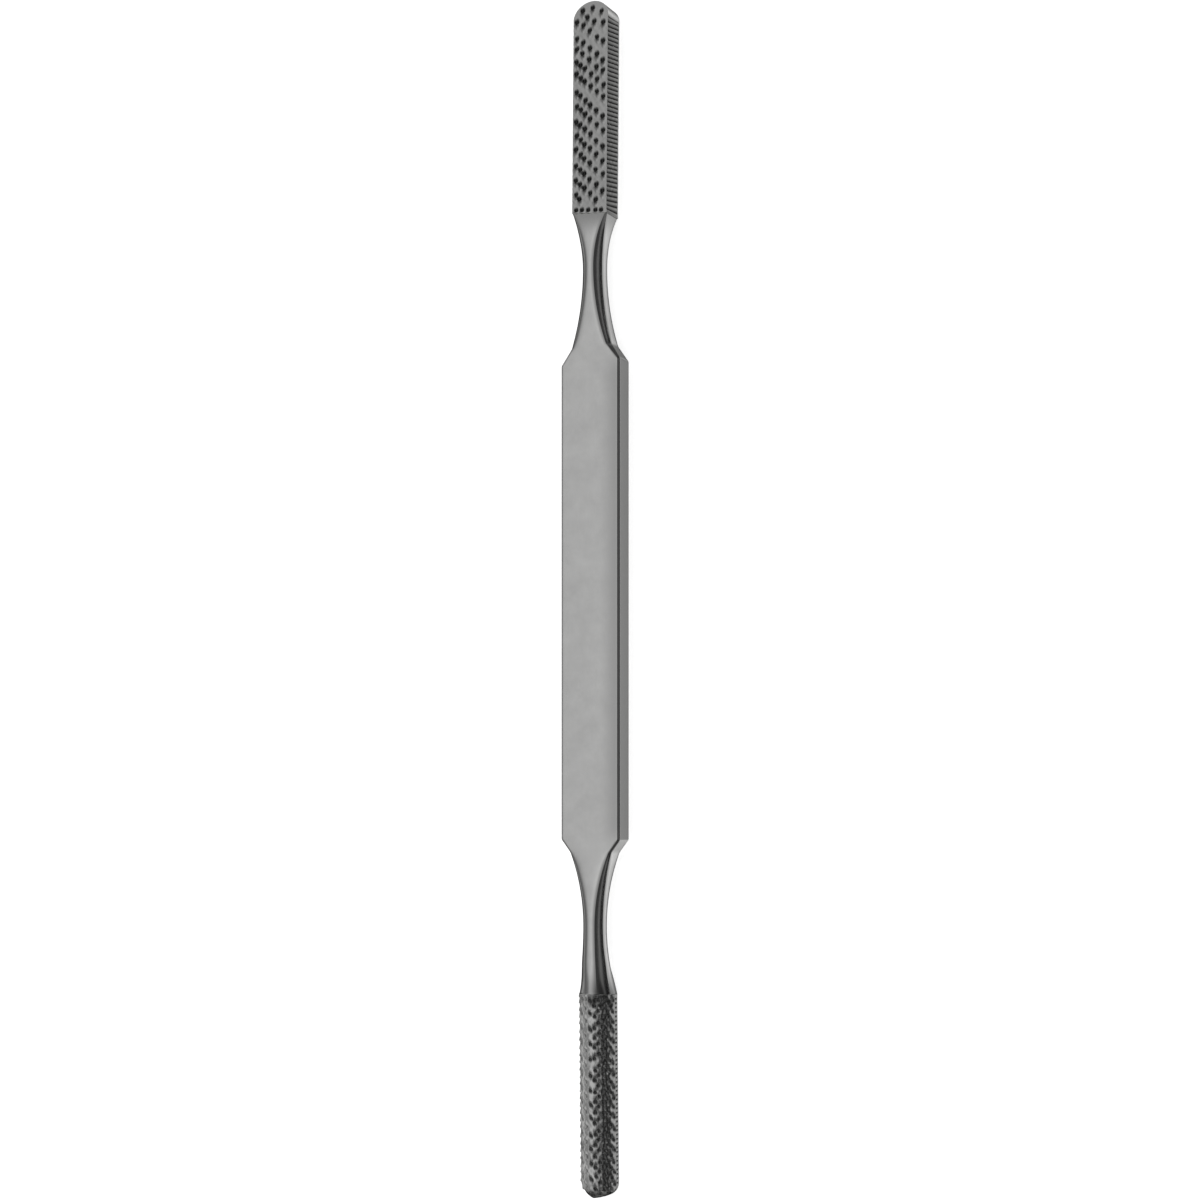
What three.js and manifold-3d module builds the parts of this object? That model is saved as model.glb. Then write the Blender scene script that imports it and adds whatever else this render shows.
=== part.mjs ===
// Double-ended all-metal rasp: a flat bar handle with a waisted neck at each end,
// a flat rasp head on one neck and a half-round rasp head on the other.
//
// Units are millimetres. The tool lies on its back along Y, with the flat head at +Y and
// the half-round head at -Y. +Z points up, out of the broad faces, and z = 0 is the surface
// it lies on. Each head is a piece of its own, with a round stub tang in a blind socket.

import * as THREE from 'three';
import { mergeVertices } from 'three/addons/utils/BufferGeometryUtils.js';
import Module from 'manifold-3d';

const wasm = await Module();
wasm.setup();

// ---------------------------------------------------------------- driving dimensions

const BAR_WIDTH = 17.0;
const BAR_THICKNESS = 5.5;
const BAR_EDGE_CHAMFER = 0.55;

// Distances from the middle of the handle to the stations of each neck.
const FLAT_END = { shoulder: 59.9, bevel: 63.9, waist: 83.6, root: 97.1 };
const ROUND_END = { shoulder: 59.9, bevel: 63.1, waist: 81.7, root: 98.8 };

// Half sizes of each neck at the top of its bevel and at its waist: across the plan, through
// the thickness, and square to the corner chamfers.
const FLAT_NECK = { plan: [5.75, 2.82], side: [2.8, 2.92], diagonal: [5.34, 2.88] };
const ROUND_NECK = { plan: [5.95, 2.87], side: [2.7, 2.55], diagonal: [5.73, 2.73] };

const FLAT_HEAD_WIDTH = 10.0;
const FLAT_HEAD_THICKNESS = 5.9;
const FLAT_HEAD_TIP = 150.0;
const FLAT_HEAD_LEAN = 0.5; // degrees, the head stands slightly off the handle's line
const FLAT_ROOT_CHAMFER = 0.4; // all that is left of the corner chamfers at the flat head
const TIP_ROUNDING = 3.9; // length of the elliptical end of each head

const ROUND_HEAD_WIDTH = 10.1;
const ROUND_HEAD_TIP = 150.0;
const ROUND_HEAD_LEAN = 0.6; // degrees
const ROUND_HEAD_BACK = 2.52; // flat back below the middle plane
const ROUND_HEAD_LAND = 1.25; // height of the narrow flat edge each side
const ROUND_HEAD_RISE = 3.87; // height of the dome above those edges
const NOSE_LENGTH = 3.2; // where the dome comes down to the tip
const NOSE_DROP = 1.3;

const FILE_PITCH = 1.1;
const FILE_DEPTH = 0.22;
const FILE_SKEW = 10.7; // degrees
const FILE_END_MARGIN = 4.3; // plain length at the tip
const FILE_BACK_SHARE = 0.8; // share of each pitch taken by the tooth's long back
const FILE_LEAD = 2; // teeth cut before the root, so that the skewed cut reaches all of it

const TOOTH_LENGTH = 2.1;
const TOOTH_WIDTH = 1.15;
const TOOTH_HEIGHT = 0.3;
const TOOTH_SUNK = 0.25;
const TOOTH_LEAN = 0.55; // how far the point stands towards the tip, as a share of half a tooth
const TOOTH_ROW_PITCH = 3.75;
const FACE_COLUMNS = 6;
const FACE_FIELD_WIDTH = 7.5;
const FACE_ROW_SLANT = 1.07; // fall of a row to the right for each millimetre across
const FACE_ROOT_MARGIN = 1.4;
const FACE_TIP_MARGIN = 1.6;
const DOME_COLUMN_ANGLES = [-66, -52, -37, -20, 0, 20, 37, 52, 66]; // degrees
const DOME_ROOT_MARGIN = 1.6;

const TANG_DIAMETER = 3.0;
const TANG_LENGTH = 12.0;
const TANG_OVERLAP = 0.5; // how far a tang runs on into its head
const JOINT_GAP = 0.3; // brazing gap round each tang and under each head

const ARC_STEPS = 12;
const STUB_SIDES = 16;
const BLANK_DEPTH = 34.0; // depth of the slabs that the blanks are cut from

// ---------------------------------------------------------------- derived dimensions

const HALF_WIDTH = BAR_WIDTH / 2;
const HALF_THICKNESS = BAR_THICKNESS / 2;
const HALF_DIAGONAL = (HALF_WIDTH + HALF_THICKNESS - BAR_EDGE_CHAMFER) / Math.SQRT2;
const MIDDLE_Z = FLAT_HEAD_THICKNESS / 2 + TOOTH_HEIGHT;
const DOME_RADIUS = (ROUND_HEAD_WIDTH ** 2 / 4 + ROUND_HEAD_RISE ** 2) / (2 * ROUND_HEAD_RISE);
const DOME_TOP = ROUND_HEAD_LAND + ROUND_HEAD_RISE - ROUND_HEAD_BACK;
const DOME_CENTRE = DOME_TOP - DOME_RADIUS;
const ROUND_ROOT_DIAGONAL = DOME_RADIUS + DOME_CENTRE / Math.SQRT2;
const ROUND_BACK_DIAGONAL = (ROUND_HEAD_WIDTH / 2 + ROUND_HEAD_BACK) / Math.SQRT2;
const FLAT_ROOT_DIAGONAL =
  (FLAT_HEAD_WIDTH / 2 + FLAT_HEAD_THICKNESS / 2 - FLAT_ROOT_CHAMFER) / Math.SQRT2;

// Half sizes at the handle, the top of the bevel, the waist and the root of the head.
const FLAT_PLAN = [HALF_WIDTH, ...FLAT_NECK.plan, FLAT_HEAD_WIDTH / 2];
const FLAT_SIDE = [HALF_THICKNESS, ...FLAT_NECK.side, FLAT_HEAD_THICKNESS / 2];
const FLAT_DIAGONAL = [HALF_DIAGONAL, ...FLAT_NECK.diagonal, FLAT_ROOT_DIAGONAL];
const ROUND_PLAN = [HALF_WIDTH, ...ROUND_NECK.plan, ROUND_HEAD_WIDTH / 2];
const ROUND_TOP = [HALF_THICKNESS, ...ROUND_NECK.side, DOME_TOP];
const ROUND_BOTTOM = [HALF_THICKNESS, ...ROUND_NECK.side, ROUND_HEAD_BACK];
const ROUND_TOP_DIAGONAL = [HALF_DIAGONAL, ...ROUND_NECK.diagonal, ROUND_ROOT_DIAGONAL];
const ROUND_BOTTOM_DIAGONAL = [HALF_DIAGONAL, ...ROUND_NECK.diagonal, ROUND_BACK_DIAGONAL];

// ---------------------------------------------------------------- solids

/** A manifold solid from a closed three.js geometry. */
function solid(geometry) {
  const bare = geometry.clone();
  bare.deleteAttribute('normal');
  bare.deleteAttribute('uv');
  const merged = mergeVertices(bare, 1e-5);
  const vertProperties = new Float32Array(merged.attributes.position.array);
  const triVerts = new Uint32Array(merged.index.array);
  return new wasm.Manifold(new wasm.Mesh({ numProp: 3, vertProperties, triVerts }));
}

/** A three.js mesh from a manifold solid. */
function meshFrom(body, name, material) {
  const { vertProperties, triVerts } = body.getMesh();
  const geometry = new THREE.BufferGeometry();
  geometry.setAttribute('position', new THREE.BufferAttribute(vertProperties, 3));
  geometry.setIndex(new THREE.BufferAttribute(triVerts, 1));
  geometry.computeVertexNormals();
  const mesh = new THREE.Mesh(geometry, material);
  mesh.name = name;
  return mesh;
}

/** An outline of [x, y] points extruded along z by depth, from z = start. */
function extrusion(points, depth, start) {
  const shape = new THREE.Shape(points.map(([x, y]) => new THREE.Vector2(x, y)));
  const geometry = new THREE.ExtrudeGeometry(shape, { depth, bevelEnabled: false });
  geometry.translate(0, 0, start);
  return geometry;
}

/** A deep slab with the given outline, centred on its middle and turned about Y. */
function slab(points, turn = 0) {
  const geometry = extrusion(points, BLANK_DEPTH, -BLANK_DEPTH / 2);
  geometry.rotateY(turn);
  return solid(geometry);
}

// ---------------------------------------------------------------- handle and necks

/** Rise of a circular arc that starts level and climbs by rise over span. */
function arcRise(distance, span, rise) {
  if (rise === 0) return 0;
  const radius = (span ** 2 + rise ** 2) / (2 * Math.abs(rise));
  return Math.sign(rise) * (radius - Math.sqrt(radius ** 2 - distance ** 2));
}

/** Distances along one neck at which its outline has a point. */
function neckSteps({ shoulder, bevel, waist, root }) {
  const steps = [shoulder];
  for (let i = 0; i <= ARC_STEPS; i++) steps.push(bevel + ((waist - bevel) * i) / ARC_STEPS);
  for (let i = 1; i <= ARC_STEPS; i++) steps.push(waist + ((root - waist) * i) / ARC_STEPS);
  return steps;
}

/** Half size of a neck at one distance: bar, straight bevel, then two arcs from the waist. */
function neckHalf(distance, end, [bar, bevelTop, waist, root]) {
  if (distance <= end.shoulder) return bar;
  if (distance >= end.waist) {
    return waist + arcRise(distance - end.waist, end.root - end.waist, root - waist);
  }
  return waist + arcRise(end.waist - distance, end.waist - end.bevel, bevelTop - waist);
}

/** One side of the bar's outline, from the half-round end up to the flat end. */
function barSide(flatHalves, roundHalves) {
  const down = neckSteps(ROUND_END).map((d) => [neckHalf(d, ROUND_END, roundHalves), -d]);
  const up = neckSteps(FLAT_END).map((d) => [neckHalf(d, FLAT_END, flatHalves), d]);
  return [...down.reverse(), ...up];
}

/** A slab with the given right and left outlines. */
function barSlab(right, left, turn) {
  const back = left.map(([half, y]) => [-half, y]).reverse();
  return slab([...right, ...back], turn);
}

/** A round stub along Y, used for the tangs and, larger, for their sockets. */
function stub(diameter, length, middleY) {
  const geometry = new THREE.CylinderGeometry(diameter / 2, diameter / 2, length, STUB_SIDES);
  geometry.translate(0, middleY, 0);
  return solid(geometry);
}

/** The bar and both necks, with a blind socket in each neck's end. */
function handleBar() {
  const plan = barSide(FLAT_PLAN, ROUND_PLAN);
  const sideTop = barSide(FLAT_SIDE, ROUND_TOP);
  const sideBottom = barSide(FLAT_SIDE, ROUND_BOTTOM);
  const cornerTop = barSide(FLAT_DIAGONAL, ROUND_TOP_DIAGONAL);
  const cornerBottom = barSide(FLAT_DIAGONAL, ROUND_BOTTOM_DIAGONAL);
  const socketDiameter = TANG_DIAMETER + 2 * JOINT_GAP;
  const socketLength = TANG_LENGTH + 2 * JOINT_GAP;
  return barSlab(plan, plan, 0)
    .intersect(barSlab(sideTop, sideBottom, -Math.PI / 2))
    .intersect(barSlab(cornerTop, cornerBottom, -Math.PI / 4))
    .intersect(barSlab(cornerTop, cornerBottom, (-3 * Math.PI) / 4))
    .subtract(stub(socketDiameter, 2 * socketLength, FLAT_END.root))
    .subtract(stub(socketDiameter, 2 * socketLength, -ROUND_END.root));
}

// ---------------------------------------------------------------- heads
// Each head is made with its root at y = 0 and its tip at +y, and is turned into place.

/** Plan outline of a head: straight sides and an elliptical tip. */
function headPlan(width, length) {
  const half = width / 2;
  const points = [[-half, 0], [half, 0]];
  for (let i = 0; i <= 2 * ARC_STEPS; i++) {
    const angle = (Math.PI * i) / (2 * ARC_STEPS);
    points.push([half * Math.cos(angle), length - TIP_ROUNDING + TIP_ROUNDING * Math.sin(angle)]);
  }
  return points;
}

/** A bar whose two edges are cut like a single-cut file, longer than the head it trims. */
function fileCutBar(width, length) {
  const half = width / 2;
  const cutEnd = length - FILE_END_MARGIN;
  const edge = [];
  for (let y = -FILE_LEAD * FILE_PITCH; y < cutEnd; y += FILE_PITCH) {
    edge.push([half - FILE_DEPTH, y]);
    edge.push([half, y + FILE_BACK_SHARE * FILE_PITCH]);
  }
  edge.push([half, length + FILE_PITCH]);
  const points = [...edge, ...edge.map(([x, y]) => [-x, y]).reverse()];
  const geometry = extrusion(points, BLANK_DEPTH, -BLANK_DEPTH / 2);
  const skew = new THREE.Matrix4();
  skew.elements[9] = -Math.tan(THREE.MathUtils.degToRad(FILE_SKEW));
  geometry.applyMatrix4(skew);
  return solid(geometry);
}

/** One punched tooth: a low pyramid whose point leans to the tip, with a tail behind it. */
function tooth(place) {
  const geometry = new THREE.ConeGeometry(1, 1, 4);
  geometry.rotateX(Math.PI / 2);
  geometry.translate(0, 0, 1 / 2);
  const lean = new THREE.Matrix4();
  lean.elements[9] = TOOTH_LEAN;
  geometry.applyMatrix4(lean);
  geometry.scale(TOOTH_WIDTH / 2, TOOTH_LENGTH / 2, TOOTH_HEIGHT + TOOTH_SUNK);
  geometry.translate(0, 0, -TOOTH_SUNK);
  geometry.applyMatrix4(place);
  return solid(geometry);
}

/** Adds a tooth to body at each place. */
function withTeeth(body, places) {
  return places.reduce((joined, place) => joined.add(tooth(place)), body);
}

/** Places on a flat face at height z, in rows that run across at a slant. */
function faceTeeth(length, z) {
  const places = [];
  const half = FACE_FIELD_WIDTH / 2;
  for (let column = 0; column < FACE_COLUMNS; column++) {
    const x = FACE_FIELD_WIDTH * (column / (FACE_COLUMNS - 1)) - half;
    const first = FACE_ROOT_MARGIN + ((FACE_ROW_SLANT * (half - x)) % TOOTH_ROW_PITCH);
    for (let y = first; y < length - FACE_TIP_MARGIN; y += TOOTH_ROW_PITCH) {
      const room = tipHalfWidth(half + TOOTH_WIDTH / 2, length, y + TOOTH_LENGTH / 2);
      if (Math.abs(x) + TOOTH_WIDTH / 4 > room) continue;
      const place = new THREE.Matrix4().makeTranslation(x, y, z);
      if (z < 0) place.multiply(new THREE.Matrix4().makeRotationY(Math.PI));
      places.push(place);
    }
  }
  return places;
}

/** Half width of a head's plan at distance y from its root. */
function tipHalfWidth(half, length, y) {
  const into = Math.max(0, y - (length - TIP_ROUNDING)) / TIP_ROUNDING;
  return into >= 1 ? 0 : half * Math.sqrt(1 - into ** 2);
}

/** The tang of a head, running back from its root. */
function tang() {
  return stub(TANG_DIAMETER, TANG_LENGTH + TANG_OVERLAP, (TANG_OVERLAP - TANG_LENGTH) / 2);
}

/** The flat head: teeth on both broad faces and file-cut edges. */
function flatHead() {
  const length = FLAT_HEAD_TIP - FLAT_END.root - JOINT_GAP;
  const z = FLAT_HEAD_THICKNESS / 2;
  const blank = solid(extrusion(headPlan(FLAT_HEAD_WIDTH, length), FLAT_HEAD_THICKNESS, -z))
    .intersect(fileCutBar(FLAT_HEAD_WIDTH, length));
  const places = [...faceTeeth(length, z), ...faceTeeth(length, -z)];
  return withTeeth(blank, places).add(tang());
}

/** Section of the half-round head, drawn with its width along x and its height along y. */
function halfRoundSection() {
  const half = ROUND_HEAD_WIDTH / 2;
  const reach = Math.asin(half / DOME_RADIUS);
  const points = [[-half, -ROUND_HEAD_BACK], [half, -ROUND_HEAD_BACK]];
  for (let i = 0; i <= 2 * ARC_STEPS; i++) {
    const angle = reach * (1 - i / ARC_STEPS);
    const x = DOME_RADIUS * Math.sin(angle);
    points.push([x, DOME_CENTRE + DOME_RADIUS * Math.cos(angle)]);
  }
  return points;
}

/** Side outline that brings the dome down to the tip in a rounded nose. */
function noseOutline(length) {
  const points = [[-ROUND_HEAD_BACK, 0], [-ROUND_HEAD_BACK, length], [DOME_TOP - NOSE_DROP, length]];
  for (let i = 1; i <= ARC_STEPS; i++) {
    const share = 1 - i / ARC_STEPS;
    const drop = NOSE_DROP * (1 - Math.sqrt(1 - share ** 2));
    points.push([DOME_TOP - drop, length - NOSE_LENGTH * (1 - share)]);
  }
  points.push([DOME_TOP, 0]);
  return points;
}

/** Places on the dome, in columns along it, each staggered against the next. */
function domeTeeth(length) {
  const places = [];
  for (const [column, degrees] of DOME_COLUMN_ANGLES.entries()) {
    const turn = THREE.MathUtils.degToRad(degrees);
    const first = DOME_ROOT_MARGIN + (column % 2) * (TOOTH_ROW_PITCH / 2);
    for (let y = first; y < length - NOSE_LENGTH; y += TOOTH_ROW_PITCH) {
      const place = new THREE.Matrix4().makeTranslation(0, y, DOME_CENTRE);
      place.multiply(new THREE.Matrix4().makeRotationY(turn));
      place.multiply(new THREE.Matrix4().makeTranslation(0, 0, DOME_RADIUS));
      places.push(place);
    }
  }
  return places;
}

/** The half-round head: teeth on the dome and the flat back, file-cut edge lands. */
function halfRoundHead() {
  const length = ROUND_HEAD_TIP - ROUND_END.root - JOINT_GAP;
  const section = extrusion(halfRoundSection(), length, -length);
  section.rotateX(Math.PI / 2);
  const blank = solid(section)
    .intersect(slab(headPlan(ROUND_HEAD_WIDTH, length)))
    .intersect(slab(noseOutline(length), -Math.PI / 2))
    .intersect(fileCutBar(ROUND_HEAD_WIDTH, length));
  const places = [...domeTeeth(length), ...faceTeeth(length, -ROUND_HEAD_BACK)];
  return withTeeth(blank, places).add(tang());
}

// ---------------------------------------------------------------- materials

const handleSteel = new THREE.MeshStandardMaterial({ color: 0xb2b2b0, roughness: 0.42, metalness: 1 });
const flatHeadSteel = new THREE.MeshStandardMaterial({ color: 0x8f8f8e, roughness: 0.5, metalness: 1 });
const roundHeadSteel = new THREE.MeshStandardMaterial({ color: 0x868685, roughness: 0.5, metalness: 1 });

// ---------------------------------------------------------------- assembly

const handle = meshFrom(handleBar(), 'handle', handleSteel);

const flatRaspHead = meshFrom(flatHead(), 'flat_rasp_head', flatHeadSteel);
flatRaspHead.position.y = FLAT_END.root + JOINT_GAP;
flatRaspHead.rotation.z = -THREE.MathUtils.degToRad(FLAT_HEAD_LEAN);

const halfRoundRaspHead = meshFrom(halfRoundHead(), 'half_round_rasp_head', roundHeadSteel);
halfRoundRaspHead.rotation.z = Math.PI + THREE.MathUtils.degToRad(ROUND_HEAD_LEAN);
halfRoundRaspHead.position.y = -ROUND_END.root - JOINT_GAP;

const rasp = new THREE.Group();
rasp.name = 'double_ended_rasp';
rasp.position.z = MIDDLE_Z;
rasp.add(handle, flatRaspHead, halfRoundRaspHead);

export default rasp;
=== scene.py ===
"""Looks of the double-ended rasp: handle, flat rasp head and half-round rasp head.

Shapes are worked out in millimetres in the tool's own frame (+Y to the flat head, +Z out of
the broad faces) and turned to metres when a mesh is made.
"""

import math
import random

import bpy
import numpy as np
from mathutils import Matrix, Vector


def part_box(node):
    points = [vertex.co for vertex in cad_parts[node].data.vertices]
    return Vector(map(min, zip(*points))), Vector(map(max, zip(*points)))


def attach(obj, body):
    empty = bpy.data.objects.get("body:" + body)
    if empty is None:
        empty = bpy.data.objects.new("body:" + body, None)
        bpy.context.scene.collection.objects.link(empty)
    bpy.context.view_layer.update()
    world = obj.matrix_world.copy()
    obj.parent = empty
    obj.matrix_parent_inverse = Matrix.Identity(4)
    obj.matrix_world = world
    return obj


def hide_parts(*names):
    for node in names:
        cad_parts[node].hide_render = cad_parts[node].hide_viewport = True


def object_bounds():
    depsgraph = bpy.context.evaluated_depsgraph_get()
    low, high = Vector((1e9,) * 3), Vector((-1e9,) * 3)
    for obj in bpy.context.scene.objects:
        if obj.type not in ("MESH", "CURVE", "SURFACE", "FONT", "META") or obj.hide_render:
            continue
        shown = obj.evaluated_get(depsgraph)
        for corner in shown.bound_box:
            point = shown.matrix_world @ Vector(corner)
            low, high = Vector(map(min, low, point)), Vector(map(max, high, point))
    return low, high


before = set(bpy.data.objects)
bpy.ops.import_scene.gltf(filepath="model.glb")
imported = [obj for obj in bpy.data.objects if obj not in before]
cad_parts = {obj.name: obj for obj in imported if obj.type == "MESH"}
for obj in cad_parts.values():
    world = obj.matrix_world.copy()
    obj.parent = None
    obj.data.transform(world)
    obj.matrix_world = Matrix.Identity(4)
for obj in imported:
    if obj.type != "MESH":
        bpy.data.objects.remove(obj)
CAD_LOW, CAD_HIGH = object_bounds()

MM = 0.001
FLAT_LOW, FLAT_HIGH = (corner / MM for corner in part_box("flat_rasp_head"))
LENGTH = (CAD_HIGH.y - CAD_LOW.y) / MM
MIDDLE_Z = (FLAT_LOW.z + FLAT_HIGH.z) / 2

# ---------------------------------------------------------------- camera, first

VIEW_TURN = math.radians(30)  # the tool shows its right-hand side
VIEW_WIDTH = 1.008 * LENGTH
CAMERA_DISTANCE = 1.47 * LENGTH
CAMERA_DOWN = 0.175 * LENGTH  # the camera stands below mid-length, and shifts its frame back up
CAMERA_RIGHT = 0.0042 * LENGTH
FRAME_UP = 0.0015 * LENGTH


def make_camera():
    data = bpy.data.cameras.new("camera")
    camera = bpy.data.objects.new("camera", data)
    bpy.context.scene.collection.objects.link(camera)
    towards = Vector((math.sin(VIEW_TURN), 0, math.cos(VIEW_TURN)))
    right = Vector((math.cos(VIEW_TURN), 0, -math.sin(VIEW_TURN)))
    aim = Vector((0, -CAMERA_DOWN, MIDDLE_Z)) + right * CAMERA_RIGHT
    camera.location = (aim + towards * CAMERA_DISTANCE) * MM
    camera.rotation_euler = (0, VIEW_TURN, 0)
    data.sensor_width = 36
    data.lens = data.sensor_width * CAMERA_DISTANCE / VIEW_WIDTH
    data.shift_y = (CAMERA_DOWN + FRAME_UP) / VIEW_WIDTH
    data.clip_start = 0.01
    data.clip_end = 50
    bpy.context.scene.camera = camera


# ---------------------------------------------------------------- mesh helpers


def mesh_from_rings(name, rings, attributes, material, body="root"):
    """A closed piece from rings of points, each ring joined to the next and both ends capped.

    rings is an array of rings x points x 3 in millimetres. attributes maps a name to one
    number for each point."""
    count, around = rings.shape[:2]
    verts = rings.reshape(-1, 3) * MM
    here = np.arange(around)
    after = np.roll(here, -1)
    quads = []
    for ring in range(count - 1):
        a = ring * around
        b = a + around
        quads.append(np.stack([a + here, a + after, b + after, b + here], 1))
    faces = np.concatenate(quads).tolist()
    smooth = [True] * len(faces) + [False, False]
    faces.append(list(range(around))[::-1])
    faces.append(list(range((count - 1) * around, count * around)))
    mesh = bpy.data.meshes.new(name)
    mesh.from_pydata(verts.tolist(), [], faces)
    mesh.polygons.foreach_set("use_smooth", smooth)
    for key, values in attributes.items():
        layer = mesh.attributes.new(key, "FLOAT", "POINT")
        layer.data.foreach_set("value", np.asarray(values, np.float32).ravel())
    mesh.materials.append(material)
    mesh.update()
    piece = bpy.data.objects.new(name, mesh)
    bpy.context.scene.collection.objects.link(piece)
    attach(piece, body)
    return piece


def smooth_step(x, low, high):
    t = np.clip((np.asarray(x, float) - low) / (high - low), 0, 1)
    return t * t * (3 - 2 * t)


def grid_normals(rings):
    """Unit normals of a grid of rings, pointing out when the points run anticlockwise."""
    along = np.gradient(rings, axis=0)
    around = (np.roll(rings, -1, axis=1) - np.roll(rings, 1, axis=1)) / 2
    normal = np.cross(around, along)
    return normal / np.maximum(np.linalg.norm(normal, axis=2, keepdims=True), 1e-12)


# ---------------------------------------------------------------- handle and necks

# Stations of each neck, measured from the middle of the handle.
FLAT_END = dict(shoulder=59.9, bevel=63.9, waist=83.6, root=97.1)
ROUND_END = dict(shoulder=59.9, bevel=63.1, waist=81.7, root=98.8)
BAR_HALF_WIDTH = 8.5
BAR_HALF_THICKNESS = 2.75
BAR_CHAMFER = 0.55
HEAD_HALF_WIDTH = 5.0
HEAD_HALF_THICKNESS = 2.95
DOME_HALF_WIDTH = 5.05
DOME_BACK = 2.52
DOME_LAND = 1.25
DOME_RISE = 3.87
DOME_RADIUS = (DOME_HALF_WIDTH**2 + DOME_RISE**2) / (2 * DOME_RISE)
DOME_TOP = DOME_LAND + DOME_RISE - DOME_BACK
DOME_CENTRE = DOME_TOP - DOME_RADIUS
FLAT_ROOT_CHAMFER = 0.4
ROOT2 = math.sqrt(2)


def diagonal(width, thickness, chamfer):
    """Half size across a corner chamfer, from the half width, half thickness and leg."""
    return (width + thickness - chamfer) / ROOT2


BAR_DIAGONAL = diagonal(BAR_HALF_WIDTH, BAR_HALF_THICKNESS, BAR_CHAMFER)
FLAT_ROOT_DIAGONAL = diagonal(HEAD_HALF_WIDTH, HEAD_HALF_THICKNESS, FLAT_ROOT_CHAMFER)
ROUND_TOP_DIAGONAL = DOME_RADIUS + DOME_CENTRE / ROOT2
ROUND_BACK_DIAGONAL = diagonal(DOME_HALF_WIDTH, DOME_BACK, 0.0)

# Half sizes of each neck at the top of the bevel and at the waist.
FLAT_NECK = {"plan": (5.75, 2.82), "side": (2.8, 2.92), "diagonal": (5.34, 2.88)}
ROUND_NECK = {"plan": (5.95, 2.87), "side": (2.7, 2.55), "diagonal": (5.73, 2.73)}


def both_necks(direction, bar, flat_root, round_root):
    """Half sizes at the bar, the top of the bevel, the waist and the root, for the two necks."""
    flat = [bar, *FLAT_NECK[direction], flat_root]
    half_round = [bar, *ROUND_NECK[direction], round_root]
    return flat, half_round


PROFILES = {
    "plan": both_necks("plan", BAR_HALF_WIDTH, HEAD_HALF_WIDTH, DOME_HALF_WIDTH),
    "top": both_necks("side", BAR_HALF_THICKNESS, HEAD_HALF_THICKNESS, DOME_TOP),
    "bottom": both_necks("side", BAR_HALF_THICKNESS, HEAD_HALF_THICKNESS, DOME_BACK),
    "top_diagonal": both_necks("diagonal", BAR_DIAGONAL, FLAT_ROOT_DIAGONAL, ROUND_TOP_DIAGONAL),
    "bottom_diagonal": both_necks("diagonal", BAR_DIAGONAL, FLAT_ROOT_DIAGONAL, ROUND_BACK_DIAGONAL),
}
NECK_STEP = 0.3  # between the handle's rings, on the necks
BAR_RINGS = 100
BROAD_STEPS = 30  # along each broad face of the handle's section
OTHER_STEPS = 12
EDGE_ROUNDING = 0.12
FACET_TILT = 0.24  # the necks' corner facets bulge, as hand grinding leaves them
FACE_TILT = 0.18
ROUND_FACE_TILT = 0.27  # the faces of the half-round neck are fuller


def arc_rise(distance, span, rise):
    """Height of an arc at a distance from its foot, when it climbs by rise over span."""
    if abs(rise) < 1e-9:
        return np.zeros_like(distance)
    radius = (span**2 + rise**2) / (2 * abs(rise))
    return np.sign(rise) * (radius - np.sqrt(np.maximum(radius**2 - distance**2, 0)))


def neck_half(y, profile):
    """Half size at each y: flat bar, straight bevel, then two arcs that meet at the waist."""
    values = np.empty_like(y)
    for end, halves, mask in ((FLAT_END, profile[0], y >= 0), (ROUND_END, profile[1], y < 0)):
        bar, bevel_top, waist, root = halves
        d = np.abs(y[mask])
        inner = waist + arc_rise(end["waist"] - d, end["waist"] - end["bevel"], bevel_top - waist)
        outer = waist + arc_rise(d - end["waist"], end["root"] - end["waist"], root - waist)
        bevel = np.interp(d, [end["shoulder"], end["bevel"]], [bar, bevel_top])
        half = np.where(d < end["waist"], inner, outer)
        half = np.where(d < end["bevel"], bevel, half)
        values[mask] = np.where(d < end["shoulder"], bar, half)
    return values


def softened(y, profile, reach=0.22, taps=5):
    """The profile with its corners eased over a short reach."""
    offsets = np.linspace(-reach, reach, taps)
    low, high = -ROUND_END["root"], FLAT_END["root"]
    return np.mean([neck_half(np.clip(y + o, low, high), profile) for o in offsets], axis=0)


def handle_stations():
    """Distances along the handle, close together on the necks and wide apart on the bar."""
    low, high = -ROUND_END["root"], FLAT_END["root"]
    edge = FLAT_END["shoulder"] - 1
    return np.concatenate([
        np.arange(low, -edge, NECK_STEP),
        np.linspace(-edge, edge, BAR_RINGS),
        np.arange(high, edge, -NECK_STEP)[::-1],
    ])


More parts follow.
